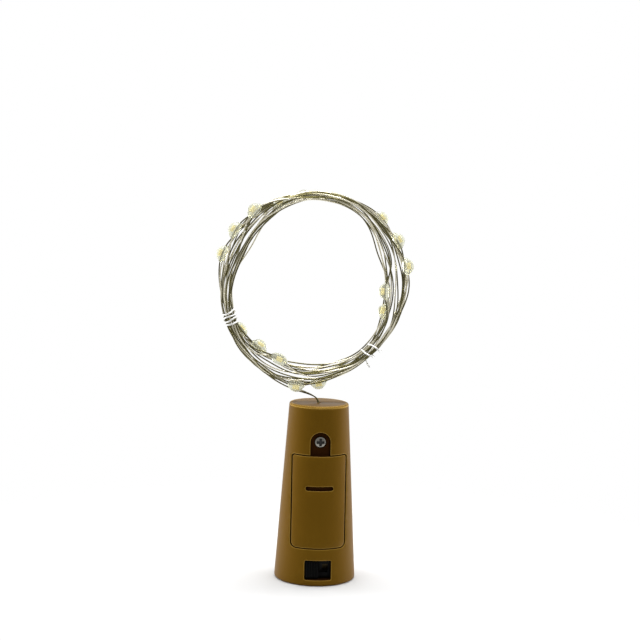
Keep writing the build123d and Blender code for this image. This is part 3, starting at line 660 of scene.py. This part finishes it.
def strand_lines(route, ways):
    """Two lines that run side by side along the route, wind slowly round each other, and part and close."""
    side = ways[0].orthogonal().normalized()
    lines = ([], [])
    travelled = 0.0
    for i, point in enumerate(route):
        if i:
            travelled += (point - route[i - 1]).length
        side = (side - ways[i] * side.dot(ways[i])).normalized()
        swing = twist_swing * math.sin(travelled / twist_swing_length)
        angle = 2 * math.pi * travelled / twist_length + swing
        parted = min(1, travelled / parting_length) * math.sin(math.pi * travelled / parting_length) ** 2
        apart = (strand_spacing + strand_parting * parted) * MM
        away = Matrix.Rotation(angle, 3, ways[i]) @ side * (apart / 2)
        lines[0].append(point + away)
        lines[1].append(point - away)
    return lines


string_wire, wire_shader, wire_grain = grained_material(
    "enamelled_wire", colour=(0.088, 0.076, 0.024, 1), pale=(0.19, 0.172, 0.068, 1),
    roughness=0.26, grain_scale=1400.0, patch_scale=330.0, depth=0.003 * MM,
)
wire_shader.inputs["Metallic"].default_value = 0.9
# Painted highlight: a pale glint colour is mixed into the wire's colour along each strand
wire_painted_glint = string_wire.node_tree.nodes.new("ShaderNodeAttribute")
wire_painted_glint.attribute_name = "painted_glint"
wire_glint_colour = mix_node(
    string_wire.node_tree, wire_painted_glint.outputs["Fac"], wire_grain.outputs["Colour"], (0.92, 0.87, 0.69, 1)
)
string_wire.node_tree.links.new(wire_glint_colour, wire_shader.inputs["Base Color"])
string_strands = strand_lines(string_route, string_ways)
strands = tube_mesh("light_string", string_strands, strand_diameter * MM, resolution=2)

# Painted glints along the strands, counted in points of the route
glint_rate = 0.17
glint_stray = 1.5
glint_stray_rate = 0.043
glint_gain = 1.5
glint_floor = 0.15
glint_free_points = 60


def add_painted_glint(mesh, points_per_strand):
    """Painted highlight along each strand, bright now on one strand and now on the other, and none near the
    start.
    """
    painted_glint = mesh.attributes.new("painted_glint", "FLOAT", "POINT")
    ring = len(mesh.vertices) // (2 * points_per_strand)
    for i, slot in enumerate(painted_glint.data):
        strand, along = divmod(i // ring, points_per_strand)
        turned = glint_rate * along + glint_stray * math.sin(glint_stray_rate * along) + math.pi * strand
        glinting = min(1.0, max(0.0, glint_gain * math.cos(turned) - glint_floor))
        slot.value = min(1.0, along / glint_free_points) * glinting


add_painted_glint(strands, len(string_route))
light_string = shown("light_string", strands, "plug", [string_wire])
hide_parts("string_lead", "string_coil")

# Lights.
# About every hundred millimetres a tiny chip under yellow phosphor, with a faint painted glow in its
# colour, bridges the two wires. A drop of clear resin is dripped on and left to set, so it hangs to one
# side.
drop_sides = 24
chip_size = Vector((1.5, 1.0, 0.6))
chip_middle = 0.82
chip_edge = 0.12
chip_painted_glow = (0.90, 0.73, 0.26, 1)

# Stations along a drop: distance along the wire, radius, how far its middle stands off the wire
drop_stations = [
    (-2.35, 0.40, 0.0),
    (-2.05, 0.66, 0.06),
    (-1.5, 1.14, 0.34),
    (-0.75, 1.47, 0.52),
    (0.15, 1.54, 0.57),
    (1.0, 1.41, 0.49),
    (1.7, 1.00, 0.25),
    (2.1, 0.60, 0.05),
    (2.35, 0.40, 0.0),
]
resin, resin_shader, _ = grained_material(
    "clear_resin", colour=(0.79, 0.80, 0.66, 1), pale=(0.87, 0.88, 0.74, 1),
    roughness=0.05, grain_scale=900.0, patch_scale=240.0, depth=0.012 * MM,
)
resin_shader.inputs["IOR"].default_value = 1.33
resin_shader.inputs["Transmission Weight"].default_value = 0.66
phosphor, phosphor_shader, _ = grained_material(
    "phosphor", colour=(0.40, 0.35, 0.14, 1), pale=(0.48, 0.43, 0.20, 1),
    roughness=0.5, grain_scale=5000.0, patch_scale=900.0, depth=0.01 * MM,
)
# Painted glow: a faint emission that brightens the chip without any lamp
phosphor_shader.inputs["Emission Color"].default_value = chip_painted_glow
phosphor_shader.inputs["Emission Strength"].default_value = 0.6


def light_shape(here):
    """Resin drop with the chip inside it, in the frame of a point on the wire."""
    shape = bmesh.new()
    across = Matrix.Rotation(math.pi / 2, 4, "Y")
    last = []
    for along, radius, lift in drop_stations:
        place = here @ Matrix.Translation(Vector((along, 0, lift)) * MM) @ across
        made = bmesh.ops.create_circle(
            shape, cap_ends=False, radius=radius * MM, segments=drop_sides, matrix=place
        )
        ring = list({edge for vertex in made["verts"] for edge in vertex.link_edges})
        if last:
            bmesh.ops.bridge_loops(shape, edges=last + ring)
        last = ring
    bmesh.ops.holes_fill(shape, edges=[edge for edge in shape.edges if edge.is_boundary])
    bmesh.ops.recalc_face_normals(shape, faces=shape.faces)
    drop_faces = set(shape.faces)
    place = here @ Matrix.Translation((0, 0, chip_middle * MM)) @ Matrix.Diagonal((*(chip_size * MM), 1))
    chip = bmesh.ops.create_cube(shape, size=1.0, matrix=place)
    chip_edges = list({edge for vertex in chip["verts"] for edge in vertex.link_edges})
    bmesh.ops.bevel(
        shape,
        geom=chip_edges,
        offset=chip_edge * MM,
        offset_type="OFFSET",
        affect="EDGES",
        segments=2,
        profile=0.5,
        material=-1,
    )
    for face in shape.faces:
        if face not in drop_faces:
            face.material_index = 1
    return shape


for led in range(led_count):
    target = coil_point(first_led_turn + led_turn_step * led) * MM
    nearest = min(range(len(string_route)), key=lambda i: (string_route[i] - target).length_squared)
    middle = string_route[nearest]
    way = string_ways[nearest]
    outwards = middle - Vector((ring_x, 0, ring_height)) * MM
    outwards.y = 0
    outwards = (outwards - way * outwards.dot(way)).normalized()
    facing = math.radians(led_facings[led])
    faced = outwards * math.cos(facing) + outwards.cross(way) * math.sin(facing)
    here = Matrix((way, faced.cross(way), faced)).transposed().to_4x4()
    here.translation = middle
    name = f"light_{led + 1:02d}"
    light = shown(name, mesh_of(name, light_shape(here)), "plug", [resin, phosphor])
    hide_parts(f"led_drop_{led + 1:02d}", f"led_chip_{led + 1:02d}")

# Ties.
# Two short ends of bright wire, wound by hand round the turns, keep the ring together.
tie_wire = 0.45
tie_clearance = 0.15
tie_tail = 2.4
tie_points_per_turn = 20
tie_lean = 0.14
tie_lean_beat = 2.4
tie_swell = 0.12
tie_swell_beat = 1.3
left_tie_turns = 3.5
left_tie_pitch = 1.0
right_tie_turns = 2.0
right_tie_pitch = 2.6

# Steps along a tie's tail: share of its length, and how far it turns out of the ring
tie_tail_steps = [(0.55, 0.0), (0.25, 0.35), (0.1, 0.6)]
bright_wire, tie_shader, _ = grained_material(
    "bright_wire", colour=(0.78, 0.78, 0.76, 1), pale=(0.95, 0.95, 0.93, 1),
    roughness=0.3, grain_scale=1800.0, patch_scale=500.0, depth=0.003 * MM,
)
tie_shader.inputs["Metallic"].default_value = 0.45


def tie_points(station, wound, pitch):
    """Control points of a tie's turns round the bundle, with a tail at the end, in millimetres."""
    degrees, middle, fan, _ = station
    angle = math.radians(degrees)
    outwards = Vector((math.cos(angle), 0, math.sin(angle)))
    onwards = Vector((math.sin(angle), 0, -math.cos(angle)))
    reach = (string_diameter + tie_wire) / 2 + tie_clearance
    half_width = ring_layer_gap / 2 + fan + reach
    half_depth = ring_half_depth + reach
    centre = Vector((ring_x, 0, ring_height)) + outwards * middle
    points = []
    for k in range(round(wound * tie_points_per_turn) + 1):
        swing = 2 * math.pi * k / tie_points_per_turn
        lean = tie_lean * math.sin(tie_lean_beat * swing)
        swell = tie_swell * math.sin(tie_swell_beat * swing)
        points.append(
            centre
            + outwards * ((half_width + swell) * math.cos(swing))
            - Vector((0, half_depth * math.sin(swing), 0))
            + onwards * (pitch * (k / tie_points_per_turn - wound / 2) + lean)
        )
    way = (points[-1] - points[-2]).normalized()
    for share, turned_out in tie_tail_steps:
        points.append(points[-1] + way * tie_tail * share + outwards * turned_out)
    return points


for node, station, wound, pitch in (
    ("left_tie", left_tie_station, left_tie_turns, left_tie_pitch),
    ("right_tie", right_tie_station, right_tie_turns, right_tie_pitch),
):
    line = smooth_route(node + "_route", tie_points(station, wound, pitch))
    name = node + "_wound"
    winding = tube_mesh(name, [line], tie_wire * MM, resolution=3)
    tie = shown(name, winding, "plug", [bright_wire])
    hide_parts(node)

# Glue bead.
# Blob of hot glue under the hole in the top, which holds the light string and the inner wires.
glue_outline = [
    (0.0, anchor_bottom),
    (0.9, 43.95),
    (1.45, 44.3),
    (1.7, 45.0),
    (1.66, 46.0),
    (1.7, anchor_top),
    (0.0, anchor_top),
]


def spun_shape(outline, steps):
    """Closed shape from a half outline in the XZ plane, spun about the Z axis."""
    shape = bmesh.new()
    corners = [shape.verts.new(Vector((x, 0, z)) * MM) for x, z in outline]
    edges = [shape.edges.new(pair) for pair in zip(corners, corners[1:])]
    bmesh.ops.spin(
        shape,
        geom=corners + edges,
        cent=(0, 0, 0),
        axis=(0, 0, 1),
        angle=2 * math.pi,
        steps=steps,
        use_merge=True,
    )
    bmesh.ops.remove_doubles(shape, verts=shape.verts, dist=0.001 * MM)
    bmesh.ops.recalc_face_normals(shape, faces=shape.faces)
    return shape


hot_glue, glue_shader, _ = grained_material(
    "hot_glue", colour=(0.62, 0.58, 0.46, 1), pale=(0.74, 0.71, 0.60, 1),
    roughness=0.32, grain_scale=900.0, patch_scale=300.0, depth=0.02 * MM,
)
glue_shader.inputs["Transmission Weight"].default_value = 0.35
glue_mesh = mesh_of("glue_bead", spun_shape(glue_outline, steps=32))
glue_bead = shown("glue_bead", glue_mesh, "plug", [hot_glue])
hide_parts("wire_anchor")

# Rear shell of the plug.
# The plain half, moulded in the same plastic, with a lip along the seam that drops into the front half.
dressed_copy("rear_shell", "rear_half", "plug", cork_plastic, cork_edge, slices=30)

# Button cells.
# Three small cells in drawn steel cans, each crimped over the edge of its cap, stacked with the caps up.
cell_steel, cell_shader, _ = grained_material(
    "cell_steel", colour=(0.50, 0.50, 0.48, 1), pale=(0.64, 0.64, 0.62, 1),
    roughness=0.24, grain_scale=2600.0, patch_scale=260.0, depth=0.003 * MM,
)
cell_shader.inputs["Metallic"].default_value = 1.0
for cell in (1, 2, 3):
    dressed_copy(f"button_cell_{cell}", f"cell_{cell}", "plug", cell_steel, edge=0.08 * MM)

# Battery cover.
# Curved plate of the same plastic with a blind slot to pry it open by, and a sunk tongue for the screw.
# It has shrunk a little in the mould, so a groove shows all round it, darkened with painted shade.
cover_shrink = 0.1
cover_top = 34.8
cover_top_margin = 0.1
battery_cover = dressed_copy(
    "battery_cover", "cover_plate", "cover", cork_plastic, cork_edge, slices=16
)


def shrink_plate(mesh, low, high):
    """Draw the plate's rim in along the cone, as a moulded plate shrinks, and leave the tongue above it."""
    half_height = (cover_top * MM - low[2]) / 2
    middle = low[2] + half_height
    narrower = 1 - cover_shrink * MM / high[0]
    shorter = 1 - cover_shrink * MM / half_height
    for vertex in mesh.vertices:
        x, y, z = vertex.co
        if z < (cover_top + cover_top_margin) * MM:
            drawn_z = middle + (z - middle) * shorter
            angle = math.atan2(x, -y) * narrower
            radius = math.hypot(x, y) + (z - drawn_z) * cork_taper
            vertex.co = (radius * math.sin(angle), -radius * math.cos(angle), drawn_z)


shrink_plate(battery_cover.data, *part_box("battery_cover"))

# Cover screw.
# Nickelled self-tapping screw with a low domed head and a cross recess, whose faces are coloured near black
# as painted shade.
screw_rise = 3.7
screw_height = cover_top + screw_rise
tongue_set_back = 1.2
tongue_front = cork_base_radius - cork_taper * screw_height - tongue_set_back
screw_shank = 3.7
screw_tip = 4.6
thread_pitch = 0.7
thread_root = 0.6
thread_bed = 0.96 * thread_root
thread_crest = 0.8
thread_steps = 16
thread_turns = 4.4
thread_start = -0.5
thread_half = 0.22
cross_length = 2.7
cross_width = 0.95
cross_height = 1.2
cross_middle = 0.95
cross_taper_below = 0.6
cross_taper = 0.62
screw_outline = [
    (0.0, 0.90),
    (0.55, 0.88),
    (1.05, 0.78),
    (1.42, 0.58),
    (1.58, 0.34),
    (1.60, 0.12),
    (1.54, 0.0),
    (thread_root, 0.0),
    (thread_root, -screw_shank),
    (0.0, -screw_tip),
]
screw_steel, screw_shader, _ = grained_material(
    "screw_steel", colour=(0.24, 0.23, 0.20, 1), pale=(0.34, 0.33, 0.30, 1),
    roughness=0.2, grain_scale=2600.0, patch_scale=700.0, depth=0.004 * MM,
)
screw_shader.inputs["Metallic"].default_value = 1.0
# Painted shade: the faces of the cross recess are coloured near black
recess_shade_steel, _, _ = grained_material(
    "screw_recess_shade", colour=(0.012, 0.012, 0.012, 1), pale=(0.03, 0.03, 0.028, 1),
    roughness=0.5, grain_scale=2600.0, patch_scale=700.0, depth=0.004 * MM,
)
screw_seat = Matrix.Translation(Vector((0, -tongue_front, screw_height)) * MM)
screw_place = screw_seat @ Matrix.Rotation(math.pi / 2, 4, "X")


def cross_cutter():
    """Tapered cross that cuts the recess in the screw's head."""
    shape = bmesh.new()
    middle = Matrix.Translation((0, 0, cross_middle * MM))
    for length, width in ((cross_length, cross_width), (cross_width, cross_length)):
        size = Matrix.Diagonal((length * MM, width * MM, cross_height * MM, 1))
        bmesh.ops.create_cube(shape, size=1.0, matrix=middle @ size)
    deep = [vertex for vertex in shape.verts if vertex.co.z < cross_taper_below * MM]
    bmesh.ops.scale(shape, vec=(cross_taper, cross_taper, 1), verts=deep)
    return mesh_of("cross_cutter", shape)


def cut_head(mesh, cutter):
    """Mesh with the cutter taken out of it."""
    mesh.materials.append(screw_steel)
    cutter.materials.append(recess_shade_steel)
    head = bpy.data.objects.new("head_blank", mesh)
    tool = bpy.data.objects.new("cross_tool", cutter)
    for blank in (head, tool):
        bpy.context.scene.collection.objects.link(blank)
    cut = head.modifiers.new("cross", "BOOLEAN")
    cut.object = tool
    cut.operation = "DIFFERENCE"
    cut.use_self = True
    cut.material_mode = "TRANSFER"
    bpy.context.view_layer.update()
    result = bpy.data.meshes.new_from_object(head.evaluated_get(bpy.context.evaluated_depsgraph_get()))
    for blank in (head, tool):
        bpy.data.objects.remove(blank)
    return result


def add_thread(shape):
    """Helical ridge from near the head to the tip."""
    outline = [
        (thread_bed, thread_start - thread_half),
        (thread_crest, thread_start),
        (thread_bed, thread_start + thread_half),
    ]
    corners = [shape.verts.new(Vector((x, 0, z)) * MM) for x, z in outline]
    edges = [shape.edges.new(pair) for pair in zip(corners, corners[1:])]
    bmesh.ops.spin(
        shape,
        geom=corners + edges,
        cent=(0, 0, 0),
        axis=(0, 0, 1),
        dvec=(0, 0, -thread_pitch * MM / thread_steps),
        angle=2 * math.pi * thread_turns,
        steps=round(thread_steps * thread_turns),
    )
    bmesh.ops.recalc_face_normals(shape, faces=shape.faces)


screw_blank = mesh_of("screw_blank", spun_shape(screw_outline, steps=48))
screw_mesh = cut_head(screw_blank, cross_cutter())
screw_shape = bmesh.new()
screw_shape.from_mesh(screw_mesh)
add_thread(screw_shape)
bmesh.ops.transform(screw_shape, matrix=screw_place, verts=screw_shape.verts)
screw_finishes = [screw_steel, recess_shade_steel]
screw = shown("cross_screw", mesh_of("cross_screw", screw_shape), "screw", screw_finishes)
screw.data.set_sharp_from_angle(angle=math.radians(35))
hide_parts("cover_screw")

# Studio.
# White floor that fades into a white surround, with soft boxes at both sides and above.
# The camera stands at the photograph's angle.
camera_target = Vector((-0.395, 0, 70.357)) * MM
camera_distance = 417.97 * MM
camera_azimuth = math.radians(-4.923)
camera_elevation = math.radians(6.126)
camera_roll = math.radians(1.629)

camera_data = bpy.data.cameras.new("camera")
camera_data.lens = 87.51
camera_data.sensor_width = 36.0
camera_data.clip_start = 0.01
camera = bpy.data.objects.new("camera", camera_data)
bpy.context.scene.collection.objects.link(camera)
back = Vector(
    (
        math.sin(camera_azimuth) * math.cos(camera_elevation),
        -math.cos(camera_azimuth) * math.cos(camera_elevation),
        math.sin(camera_elevation),
    )
)
level_right = Vector((0, 0, 1)).cross(back).normalized()
level_up = back.cross(level_right)
right = level_right * math.cos(camera_roll) + level_up * math.sin(camera_roll)
up = level_up * math.cos(camera_roll) - level_right * math.sin(camera_roll)
turned = Matrix((right, up, back)).transposed().to_4x4()
camera.matrix_world = Matrix.Translation(camera_target + back * camera_distance) @ turned
bpy.context.scene.camera = camera
bpy.context.scene.view_settings.view_transform = "Standard"


def soft_box(name, place, size, watts, mirrored):
    """Square soft lamp, placed in metres and aimed at the camera's target, which metal mirrors or not."""
    data = bpy.data.lights.new(name, "AREA")
    data.energy = watts
    data.size = size
    lamp = bpy.data.objects.new(name, data)
    lamp.location = place
    lamp.rotation_euler = (camera_target - Vector(place)).to_track_quat("-Z", "Y").to_euler()
    lamp.visible_glossy = mirrored
    bpy.context.scene.collection.objects.link(lamp)


soft_box("left_box", place=(-0.53, 0.23, 0.08), size=0.36, watts=4.8, mirrored=False)
soft_box("right_box", place=(0.53, 0.23, 0.08), size=0.36, watts=4.8, mirrored=False)
soft_box("top_box", place=(0.0, 0.05, 0.62), size=0.4, watts=4.4, mirrored=True)

world = bpy.data.worlds.new("studio")
bpy.context.scene.world = world
world.use_nodes = True
sky = world.node_tree
fill = sky.nodes["Background"]
fill.inputs["Color"].default_value = (1, 1, 1, 1)
fill.inputs["Strength"].default_value = 0.64
white = sky.nodes.new("ShaderNodeBackground")
white.inputs["Color"].default_value = (1, 1, 1, 1)
ray = sky.nodes.new("ShaderNodeLightPath")
direct = math_node(sky, "MAXIMUM", ray.outputs["Is Camera Ray"], ray.outputs["Is Transmission Ray"])
shown_white = math_node(sky, "MAXIMUM", direct, ray.outputs["Is Glossy Ray"])
direction = sky.nodes.new("ShaderNodeSeparateXYZ")
sky.links.new(sky.nodes.new("ShaderNodeTexCoord").outputs["Generated"], direction.inputs["Vector"])
dark_front = sky.nodes.new("ShaderNodeMapRange")
dark_front.interpolation_type = "SMOOTHSTEP"
dark_front.inputs["From Min"].default_value = -0.75
dark_front.inputs["From Max"].default_value = 0.3
dark_front.inputs["To Min"].default_value = 0.4
dark_front.inputs["To Max"].default_value = 1.0
sky.links.new(direction.outputs["Y"], dark_front.inputs["Value"])
sky.links.new(math_node(sky, "MAXIMUM", dark_front.outputs["Result"], direct), white.inputs["Strength"])
choose = sky.nodes.new("ShaderNodeMixShader")
sky.links.new(shown_white, choose.inputs["Fac"])
sky.links.new(fill.outputs["Background"], choose.inputs[1])
sky.links.new(white.outputs["Background"], choose.inputs[2])
sky.links.new(choose.outputs["Shader"], sky.nodes["World Output"].inputs["Surface"])

# The floor in metres: its radius, and where it starts to fade and is gone
floor_radius = 0.45
fade_start = 0.02
fade_end = 0.13
floor_shape = bmesh.new()
bmesh.ops.create_circle(floor_shape, cap_ends=True, radius=floor_radius, segments=96)
floor_mesh = mesh_of("floor", floor_shape)
floor = bpy.data.objects.new("floor", floor_mesh)
bpy.context.scene.collection.objects.link(floor)
floor_paint, floor_shader, _ = grained_material(
    "floor_paint", colour=(0.60, 0.60, 0.60, 1), pale=(0.62, 0.62, 0.62, 1),
    roughness=0.9, grain_scale=900.0, patch_scale=20.0, depth=0.001 * MM,
)
tree = floor_paint.node_tree
reach = tree.nodes.new("ShaderNodeVectorMath")
reach.operation = "LENGTH"
tree.links.new(tree.nodes.new("ShaderNodeTexCoord").outputs["Object"], reach.inputs[0])
fade = tree.nodes.new("ShaderNodeMapRange")
fade.interpolation_type = "SMOOTHSTEP"
fade.inputs["From Min"].default_value = fade_start
fade.inputs["From Max"].default_value = fade_end
fade.inputs["To Min"].default_value = 1.0
fade.inputs["To Max"].default_value = 0.0
tree.links.new(reach.outputs["Value"], fade.inputs["Value"])
tree.links.new(fade.outputs["Result"], floor_shader.inputs["Alpha"])
floor_mesh.materials.append(floor_paint)
